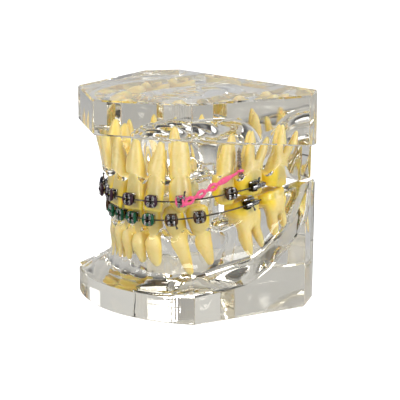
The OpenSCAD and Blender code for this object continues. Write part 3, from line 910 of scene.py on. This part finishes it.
# Where the gum turns into the heel or the back pad, and where its scallops end.
BACK_SPAN = {"upper": (24.2, 26.4), "lower": (22, 28)}
SCALLOP_SPAN = (22.5, 25.5)
SCALLOP = {"upper": 2.3, "lower": 2.0}
ROOT_SWELL = {"incisor": 0.5, "canine": 0.95, "premolar": 0.5, "molar": 0.45}
CREST_DEPTH = 6.6
MOLAR_DEPTH = 4.6
CREST_SPAN = 44.0
PAD_OUT = 2.9
FOOT_OUT = {"upper": 3.4, "lower": 2.6}
GAP_SPAN = 11.5
FLOOR_Z = 9.0
FLOOR_COLUMNS = 15
DOME_Y = 8.0
DOME_HALF_X = 11.2
DOME_HALF_Y = 18.5
DOME_TOP = 56.2
DOME_POWER = 2.2
RIDGE_PITCH = 4.8
RIDGE_DEPTH = 1.5


def table(rows, x):
    xs, ys = zip(*rows)
    return np.interp(x, xs, ys)


def soft_table(rows, x):
    """A table read with its corners rounded."""
    weights = ((-1.6, 1), (-0.8, 2), (0, 2), (0.8, 2), (1.6, 1))
    return sum(table(rows, x + d) * w for d, w in weights) / 8


def margin_dip(x):
    """1 in the middle of a tooth, 0 at its sides; x is -1 and 1 there."""
    return np.clip(1 - np.abs(x) ** 2.4, 0, 1)


def scallop(jaw, dip):
    """How far the gum's edge rises between the teeth and falls in front of them."""
    return SCALLOP[jaw] * (0.9 - 1.25 * dip)


def fillet(points, r, steps=4):
    """The open line with its inner corners rounded."""
    points = [np.asarray(p, float) for p in points]
    out = [points[0]]
    for a, b, c in zip(points, points[1:], points[2:]):
        u, v = unit(a - b), unit(c - b)
        half = math.acos(np.clip(u @ v, -1, 1)) / 2
        if half > math.radians(86):
            out.append(b)
            continue
        reach = r / math.tan(half)
        centre = b + unit(u + v) * r / math.sin(half)
        p, q = b + u * reach, b + v * reach
        for i in range(steps + 1):
            w = unit((p - centre) * (1 - i / steps) + (q - centre) * (i / steps))
            out.append(centre + w * r)
    out.append(points[-1])
    return out


def subdivided(points, longest):
    out = [points[0]]
    for a, b in zip(points, points[1:]):
        n = max(1, int(np.linalg.norm(b - a) / longest))
        out.extend(a + (b - a) * i / n for i in range(1, n + 1))
    return out


def outline(jaw):
    """The left half of a base's outer edge in plan, from the front to the back."""
    low, high = node_box(jaw + "_base")
    if jaw == "upper":
        x, y = UPPER_CORNER
        corners = [(-x, y), (0.0, low[1]), (x, y), (high[0], UPPER_WIDEST_Y),
                   (UPPER_BACK_X, high[1])]
    else:
        centre = LOWER_FRONT_Y + math.sqrt(LOWER_FRONT_R ** 2 - LOWER_FRONT_X ** 2)
        widest = math.asin(LOWER_FRONT_X / LOWER_FRONT_R)
        corners = [(LOWER_FRONT_R * math.sin(a), centre - LOWER_FRONT_R * math.cos(a))
                   for a in np.linspace(-0.05, widest, 40)]
        corners += [LOWER_WIDEST, (LOWER_BACK_X, high[1])]
    line = subdivided(fillet(corners, CORNER_R), EDGE_STEP)
    left = [p for p in line if p[0] > 1e-6]
    k = len(line) - len(left)
    a, b = line[k - 1], line[k]
    share = -a[0] / (b[0] - a[0])
    return np.array([[0.0, a[1] + share * (b[1] - a[1])]] + left)


def bulge(jaw, place):
    """How far the roots push the gum out, and how far the margin dips, at each place."""
    swell, dip, gaps = np.zeros(len(place)), np.zeros(len(place)), np.ones(len(place))
    left = [(facts[name], kind) for name, side, kind in tooth_nodes(jaw) if side == "left"]
    for fact, kind in left:
        for where in (fact["place"], -fact["place"]):
            x = (place - where) / (fact["width"] / 2)
            swell += ROOT_SWELL[kind] * np.exp(-(x / 0.62) ** 2)
            dip = np.maximum(dip, margin_dip(x))
    middles = sorted(fact["place"] for fact, _ in left)
    for a, b in zip(middles, middles[1:]):
        if b - a > GAP_SPAN:
            x = (place - (a + b) / 2) / (0.3 * (b - a))
            gaps = np.minimum(gaps, 1 - np.exp(-x ** 4))
    return swell, np.where(gaps < 1, 1 - (1 - dip) * gaps, dip)


def base_places(jaw):
    """Places along the arch for a base's rows, and the outer edge's plan point at each."""
    arch = arches[jaw]
    edge = outline(jaw)
    edge_place = np.maximum.accumulate([arch.of_outline(q) for q in edge])
    behind = arch.along > 20
    back = node_box(jaw + "_base")[1][1]
    last = np.interp(back, arch.line[behind][:, 1], arch.along[behind])
    edge_place[0] = 0.0
    edge_place[-1] = last
    keep = np.concatenate([[True], np.diff(edge_place) > 1e-6])
    edge, edge_place = edge[keep], edge_place[keep]
    regular = np.arange(0, last, ROW_STEP)
    gap = np.abs(regular[:, None] - edge_place[None, :]).min(1)
    places = np.sort(np.concatenate([edge_place, regular[gap > ROW_GAP]]))
    return places, np.stack([np.interp(places, edge_place, edge[:, i]) for i in range(2)], 1)


def section_rows(jaw):
    """Plan and height of every point of a base's left half.

    Each row is a section from the outer edge over the ledge and the gum to the midline.
    """
    lower = jaw == "lower"
    up = 1 if lower else -1
    places, boundary = base_places(jaw)
    wire, n = arches[jaw].at(places)
    face = wire[:, :2] - WIRE_STANDOFF * n
    y = face[:, 1]
    columns = []

    def column(plan, height):
        columns.append(np.column_stack([plan, np.broadcast_to(height, len(places))]))

    def beyond(out):
        """Plan points at a distance outside the tooth faces."""
        return face + np.broadcast_to(out, len(places))[:, None] * n

    swell, dip = bulge(jaw, places)
    fold_out = table(FOLD_OUT[jaw], y)
    wall = table(WALL[jaw], boundary[:, 1])
    fold = soft_table(LOWER_FOLD, y) if lower else table(UPPER_UNDER, y)
    ends = 1 - smoothstep(y, *SCALLOP_SPAN)
    margin = soft_table(MARGIN[jaw], y) + up * scallop(jaw, dip) * ends
    margin_in = soft_table(LINGUAL[jaw], y) + up * SCALLOP[jaw] * (0.5 - dip) * ends * 0.6
    base_z = 0.0 if lower else node_box("upper_base")[1][2]
    back_share = smoothstep(y, *BACK_SPAN[jaw])

    # The flat face, the side wall and the ledge up to the fold.
    outward = boundary - face
    outward /= np.linalg.norm(outward, axis=1)[:, None]
    inset = boundary - CHAMFER * outward
    column(inset, base_z)
    column(boundary, base_z + up * CHAMFER)
    column(boundary, wall - up * CHAMFER)
    column(inset, wall)
    fold_at = beyond(fold_out + 0.9)
    for t in LEDGE_SHARES:
        sag = up * LEDGE_SAG * math.sin(math.pi * t)
        column(inset + (fold_at - inset) * t, wall + (fold - wall) * t - sag)

    # The gum outside the teeth, swollen over the roots and plain at the back.
    column(beyond(fold_out + 0.45), fold + up * 0.1)
    for share, out in GUM[jaw]:
        rise = math.sin(math.pi * share ** 0.8) * swell
        gum = out + (fold_out - fold_out[0]) * (1 - share) ** 2 + rise * 0.9 - 0.25
        flat = fold_out * (1 - share) + (0.9 if lower else fold_out - 0.25) * share
        column(beyond(gum * (1 - back_share) + flat * back_share), fold + (margin - fold) * share)
    pad = 0.0 if lower else PAD_OUT * back_share
    for out, z in OUTER_LIP:
        column(beyond(out + pad), margin + up * z)

    # Under the crowns, and down the inner side of the gum.
    deep = crest_depth(places)
    column(beyond(-deep * 0.5), (margin + margin_in) / 2 - up * 0.3)
    for out, z in INNER_LIP:
        column(beyond(-deep - out), margin_in + up * z)
    foot = deep + FOOT_OUT[jaw] * (1 - 0.6 * smoothstep(y, 5, 25))
    floor = FLOOR_Z if lower else vault_height(beyond(-foot))
    top_in = margin_in - up * 1.0
    for t in INNER_SHARES:
        out = (deep + 0.9) * (1 - t) + foot * t
        column(beyond(-out), top_in + (floor - top_in) * (1 - (1 - t) ** 1.25))

    # The tongue's floor or the palate, to the midline.
    ring = beyond(-foot - 0.9)
    column(ring, floor if lower else vault_height(ring))
    axis = np.column_stack([np.zeros(len(places)), ring[:, 1]])
    for t in np.linspace(0, 1, FLOOR_COLUMNS)[1:]:
        plan = ring + (axis - ring) * t
        column(plan, floor if lower else vault_height(plan) + palate_relief(plan, t))
    return np.array(columns).transpose(1, 0, 2)


def crest_depth(places):
    """Depth of the teeth behind their faces, more towards the molars."""
    return CREST_DEPTH + MOLAR_DEPTH * np.minimum(1, (np.abs(places) / CREST_SPAN) ** 2)


def vault_height(plan):
    """Underside of the upper slab with the palate's dome."""
    x, y = plan[:, 0], plan[:, 1]
    under = table(UPPER_UNDER, y) - 0.5
    r = np.abs(x / DOME_HALF_X) ** DOME_POWER + np.abs((y - DOME_Y) / DOME_HALF_Y) ** DOME_POWER
    share = np.clip(1 - r ** (3.2 / DOME_POWER), 0, 1) ** 0.75
    return under + (DOME_TOP - under) * share


def palate_relief(plan, t):
    """Fine ridges that cross the front of the palate, fading at its edge and back."""
    x, y = plan[:, 0], plan[:, 1]
    wave = 0.5 + 0.5 * np.cos((y - 0.35 * np.abs(x)) * 2 * math.pi / RIDGE_PITCH)
    fade = smoothstep(y, -14, -10) * (1 - smoothstep(y, 2, 8))
    return -RIDGE_DEPTH * wave * fade * math.sin(math.pi * min(t, 0.85) / 1.05)


def make_base(jaw):
    """A closed casting: the left half's sections, their mirror image, and the flat ends."""
    grid = section_rows(jaw)
    rows, cols = grid.shape[:2]
    grid[0, :, 0] = 0.0
    grid[:, -1, 0] = 0.0
    grid[-1, :, 1] = node_box(jaw + "_base")[1][1]
    work = bmesh.new()
    halves = []
    for sign in (1, -1):
        verts = [[work.verts.new((sign * p[0], p[1], p[2])) for p in row] for row in grid]
        halves.append(verts)
        for i in range(rows - 1):
            for j in range(cols - 1):
                quad = [verts[i][j], verts[i + 1][j], verts[i + 1][j + 1], verts[i][j + 1]]
                work.faces.new(quad[::sign])
    left, right = halves
    work.faces.new(left[-1] + right[-1][::-1])
    work.faces.new([row[0] for row in left] + [row[0] for row in right[::-1]])
    bmesh.ops.remove_doubles(work, verts=work.verts, dist=WELD)
    bmesh.ops.dissolve_degenerate(work, edges=work.edges, dist=WELD)
    bmesh.ops.recalc_face_normals(work, faces=work.faces)
    for v in work.verts:
        v.co = v.co * MM
    mesh = bpy.data.meshes.new(jaw + "_base_acrylic")
    work.to_mesh(mesh)
    work.free()
    make_piece(jaw + "_base_acrylic", mesh, jaw, "clear_acrylic", jaw + "_base", BASE_SHARP)


# ---------------- fittings and ties

SLOT_HALF = 0.28
WING_X = 1.2
WING_GAP = 0.36
WING_Y = (-2.2, -0.8)
HOOK_R = 0.22
BALL_R = 0.36
# How far the hooks are darkened towards the near-black tone.
HOOK_DARKENING = 0.6
CANINE_HOOK = 1.7
TUBE_HOOK = 1.5
CAST_SHARP = 40
ROUND_SHARP = 50
# Radius and place along X of the molar tube's barrel, outside first and then the bore.
BARREL = [(0.34, -2.4), (0.8, -2.4), (0.93, -2.2), (0.93, 2.3), (0.85, 2.48), (0.5, 2.5),
          (0.4, 2.42), (0.36, 2.2), (0.36, -2.3)]
Z_TO_X = np.array([[0, 0, 1], [0, 1, 0], [-1, 0, 0]], float)
TIE_HALF = 1.45
TIE_TUBE = 0.5
TIE_POWER = 3.2
TIE_Y = -1.68
TIE_DIP = 0.22
TIES = {
    "upper_front_ties": ("upper", "tie_aubergine", ["central_incisor", "lateral_incisor"], SIDES),
    "upper_right_canine_tie": ("upper", "tie_navy", ["canine"], ["right"]),
    "upper_premolar_ties": ("upper", "tie_amber", ["second_premolar"], SIDES),
    "lower_front_ties": ("lower", "tie_green", ["central_incisor", "lateral_incisor"], SIDES),
    "lower_amber_ties": ("lower", "tie_amber", ["canine", "first_premolar"], SIDES),
}


def add_hook(part, x, z, length):
    """A post with a ball end beside a wing; a negative length hangs down."""
    line = [(x, -1.15, z), (x + 0.1, -1.3, z + math.copysign(0.6, length)),
            (x + 0.35, -1.35, z + length * 0.9)]
    part.add(*sweep(catmull_rom(np.array(line), 4), HOOK_R, 8, up=(0, 1, 0)), oxide=HOOK_DARKENING)
    ball = [(BALL_R * math.sin(a), -BALL_R * math.cos(a))
            for a in np.linspace(0.15, math.pi - 0.15, 9)]
    points, faces = lathe(ball, 12)
    part.add(np.array(points) + (x + 0.4, -1.36, z + length), faces, oxide=HOOK_DARKENING)


def bracket_part(hook):
    """A bonding pad, a body and four wings round the slot; hook is its length or 0."""
    part = Part()
    part.add(*rounded_box((-1.45, -0.42, -1.55), (1.45, 1.1, 1.55), 0.25))
    # Painted shade: the body between the wings is made nearly black.
    part.add(*rounded_box((-1.15, -1.0, -1.05), (1.15, 0.0, 1.05), 0.15), oxide=0.85)
    front, root = WING_Y
    for x0, x1 in ((-WING_X, -WING_GAP), (WING_GAP, WING_X)):
        for sign in (-1, 1):
            z0, z1 = sorted((sign * SLOT_HALF, sign * 1.15))
            part.add(*rounded_box((x0, front, z0), (x1, root, z1), 0.12))
            z0, z1 = sorted((sign * 0.9, sign * 1.72))
            part.add(*rounded_box((x0, front - 0.02, z0), (x1, -1.78, z1), 0.16, 3))
    if hook:
        add_hook(part, 0.9, math.copysign(0.9, hook), hook)
    return part


def tube_part(gum_side):
    """A bonding pad, a dark front block, a bored barrel and a hook."""
    part = Part()
    part.add(*rounded_box((-2.1, -0.42, -1.55), (2.1, 1.1, 1.55), 0.3))
    part.add(*rounded_box((-2.5, -2.0, -1.2), (-0.75, 0.0, 1.2), 0.16, 3), oxide=1.0)
    points, faces = lathe(BARREL, 20, closed=True)
    part.add(np.array(points) @ Z_TO_X.T + (0, -WIRE_STANDOFF, 0), faces)
    part.add(*rounded_box((-0.6, -1.2, -0.95), (2.1, 0.0, 0.95), 0.15))
    add_hook(part, 0.5, gum_side * 0.7, gum_side * TUBE_HOOK)
    return part


def make_fitting(jaw, name):
    gum_side = 1 if jaw == "upper" else -1
    if name.endswith("_tube"):
        part = tube_part(gum_side)
    else:
        part = bracket_part(gum_side * CANINE_HOOK if "_canine_" in name else 0)
    points = moved(part.points, placement(jaw, node_place(jaw, name)))
    mesh = checked_mesh(name + "_cast", points, part.faces)
    write_layer(mesh, DARK_AND_SHADE, part.oxide)
    if "_right_" in name:
        mesh.flip_normals()
    make_piece(name + "_cast", mesh, jaw, "bracket_steel", name, CAST_SHARP)


def make_wire(jaw):
    arch = arches[jaw]
    places = np.arange(arch.nearest(arch.wire[0, :2]), arch.nearest(arch.wire[-1, :2]), 0.6)
    points, faces = sweep([arch.at(p)[0] for p in places], arch.wire_r, 12)
    mesh = checked_mesh(jaw + "_archwire_drawn", points, faces)
    make_piece(jaw + "_archwire_drawn", mesh, jaw, "wire_steel", jaw + "_archwire", ROUND_SHARP)


def tie_loop(y, tube):
    """A ring with round corners that dips under the wings and over the wire."""
    line = []
    for a in round_angles(40):
        c, s = math.cos(a), math.sin(a)
        grow = TIE_HALF / (abs(c) ** TIE_POWER + abs(s) ** TIE_POWER) ** (1 / TIE_POWER)
        line.append((c * grow, y - TIE_DIP * math.exp(-(s / 0.3) ** 2), s * grow))
    return sweep(line, tube, 10, closed=True, up=(0, 1, 0))


def make_ties():
    for node, (jaw, slot, teeth, sides) in TIES.items():
        part = Part()
        for side in sides:
            for tooth in teeth:
                place = node_place(jaw, f"{jaw}_{side}_{tooth}_bracket")
                points, faces = tie_loop(TIE_Y, TIE_TUBE)
                part.add(moved(points, placement(jaw, place)),
                         faces if place >= 0 else [f[::-1] for f in faces])
        mesh = checked_mesh(node + "_elastic", part.points, part.faces)
        make_piece(node + "_elastic", mesh, jaw, slot, node)


# ---------------- screw and chain

HEAD_H = 1.3
NECK_H = 1.2
NECK_R = 0.55
SHAFT_R = 0.56
SHAFT_TOP = HEAD_H + NECK_H + 0.3
# Radius and distance from the screw's face, down to the neck.
SCREW_HEAD = [(0.2, 0.3), (0.45, 0.28), (0.5, 0.05), (0.72, 0.0), (0.9, 0.22), (0.95, 0.5),
              (0.9, 0.85), (0.72, 1.12), (0.6, 1.25), (NECK_R, HEAD_H + 0.1),
              (NECK_R, HEAD_H + NECK_H), (0.68, HEAD_H + NECK_H + 0.1)]
THREAD_PITCH = 0.95
THREAD_STEPS = 20
THREAD_R = 0.21
LINKS = 3
LINK_PITCH = 4.0
FIRST_LINK = 2.8
LINK_HALF = (1.2, 0.8)
LINK_OVERLAP = 0.2
RIBBON_HALF = 0.2
TAIL_FLAT = 0.35
CHAIN_VOXEL = 0.09
CHAIN_OUT = 2.7
CHAIN_DROP = 0.9


def screw_axis():
    """Head point, aim and length of the mini screw, from its node's ends."""
    points = node_points("mini_screw")
    centred = points - points.mean(0)
    _, _, axes = np.linalg.svd(centred)
    reach = centred @ (axes[0] if axes[0][2] > 0 else -axes[0])
    foot = points[reach < reach.min() + 0.05].mean(0)
    tip = points[reach > reach.max() - 0.05].mean(0)
    return foot, unit(tip - foot), np.linalg.norm(tip - foot)


def screw_frame():
    """Local frame of the screw: origin on its face, Z along it."""
    foot, z, _ = screw_axis()
    x = unit(np.cross((0, 1, 0), z))
    return local_frame(x, np.cross(z, x), z, foot)


def thread(length):
    """A ridge wound round the shaft, running out at both ends."""
    stop = length - 0.25
    turns = (stop - SHAFT_TOP) / THREAD_PITCH
    count = int(turns * THREAD_STEPS)
    line, size = [], []
    for i in range(count + 1):
        a = 2 * math.pi * turns * i / count
        z = SHAFT_TOP + (stop - SHAFT_TOP) * i / count
        taper = 1 - 0.8 * smoothstep(z, length - 1.5, length)
        r = (SHAFT_R + 0.04) * taper
        line.append((r * math.cos(a), r * math.sin(a), z))
        size.append(THREAD_R * (0.25 + 0.75 * taper) * smoothstep(i / count, 0, 0.08))
    return sweep(line, np.maximum(size, 0.02), 6)


def make_screw():
    length = screw_axis()[2]
    part = Part()
    shaft = [(SHAFT_R, SHAFT_TOP), (SHAFT_R, length - 1.3), (0.1, length)]
    part.add(*lathe(SCREW_HEAD + shaft, 24))
    part.add(*thread(length))
    mesh = checked_mesh("mini_screw_turned", moved(part.points, screw_frame()), part.faces)
    make_piece("mini_screw_turned", mesh, "upper", "screw_titanium", "mini_screw", ROUND_SHARP)


def chain_ribbon(length):
    """The flat run of links along X, and the tail that narrows towards the screw."""
    ribbon = Part()
    half_x, half_z = LINK_HALF
    centres = [FIRST_LINK + k * LINK_PITCH for k in range(LINKS)]
    for centre in centres:
        loop = [(centre + half_x * math.cos(a), 0, half_z * math.sin(a)) for a in round_angles(32)]
        ribbon.add(*sweep(loop, 0.5, 10, closed=True, flat=0.7, up=(0, 1, 0)))
    starts = [0.9] + [centre + 1.0 for centre in centres[:-1]]
    ends = [centre - 1.0 for centre in centres]
    for a, b in zip(starts, ends):
        ribbon.add(*rounded_box((a - LINK_OVERLAP, -RIBBON_HALF, -0.5),
                                (b + LINK_OVERLAP, RIBBON_HALF, 0.5), 0.18, 3))
    tail = centres[-1] + 0.9
    line, size = [], []
    for t in np.linspace(0, 1, 12):
        line.append((tail + (length - tail - 1.0) * t, 0, 0))
        size.append(0.48 + (0.5 * math.sin(math.pi * t * 1.25) ** 1.5 if t < 0.8 else 0))
    points, faces = sweep(line, size, 12, up=(0, 1, 0))
    ribbon.add(np.array(points) * (1, TAIL_FLAT, 1), faces)
    return ribbon


def make_chain():
    """The ribbon, its ring round the screw's neck, and its band round the bracket."""
    screw = screw_frame()
    neck = screw[:3, 3] + screw[:3, 2] * (HEAD_H + NECK_H / 2)
    hold = placement("upper", node_place("upper", "upper_left_canine_bracket"))
    start = hold[:3, 3] - hold[:3, 1] * CHAIN_OUT - np.array([0, 0, CHAIN_DROP])
    length = np.linalg.norm(neck - start)
    x = (neck - start) / length
    flat = unit(np.cross(x, (0, 0, 1)))
    ribbon = chain_ribbon(length)
    everything = Part()
    everything.add(moved(ribbon.points, local_frame(x, -flat, np.cross(flat, x), start)), ribbon.faces)
    ring = [(0.83 * math.cos(a), 0.83 * math.sin(a), HEAD_H + NECK_H / 2) for a in round_angles(32)]
    points, faces = sweep(ring, 0.31, 10, closed=True, flat=1.3)
    everything.add(moved(points, screw), faces)
    band = Part()
    band.add(*tie_loop(-1.5, 0.34))
    band.add(*rounded_box((0.95, -2.9, -1.3), (1.6, -1.4, -0.5), 0.2, 3))
    band.add(*rounded_box((0.2, -2.75, -1.5), (0.75, -2.1, 0.9), 0.2, 3))
    everything.add(moved(band.points, hold), band.faces)
    mesh = voxel_mesh(everything.points, everything.faces, CHAIN_VOXEL, "power_chain_form")
    relax(mesh, 5, 0.5)
    make_piece("power_chain_elastic", mesh, "upper", "chain_pink", "power_chain")


# ---------------- build

scene = bpy.context.scene
scene.view_settings.view_transform = "Standard"
scene.cycles.max_bounces = 28
scene.cycles.transmission_bounces = 28
scene.cycles.glossy_bounces = 12
make_camera()
make_world()
make_lamps()
make_floor()
materials = make_materials()
arches = {jaw: Arch(jaw) for jaw in JAWS}
facts = {name: tooth_facts(jaw, name) for jaw in JAWS for name, _, _ in tooth_nodes(jaw)}
for jaw in JAWS:
    make_base(jaw)
    for name, _, kind in tooth_nodes(jaw):
        make_tooth(jaw, name, kind)
    make_wire(jaw)
    for name in sorted(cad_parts):
        if name.startswith(jaw) and name.endswith(("_bracket", "_tube")):
            make_fitting(jaw, name)
make_ties()
make_screw()
make_chain()
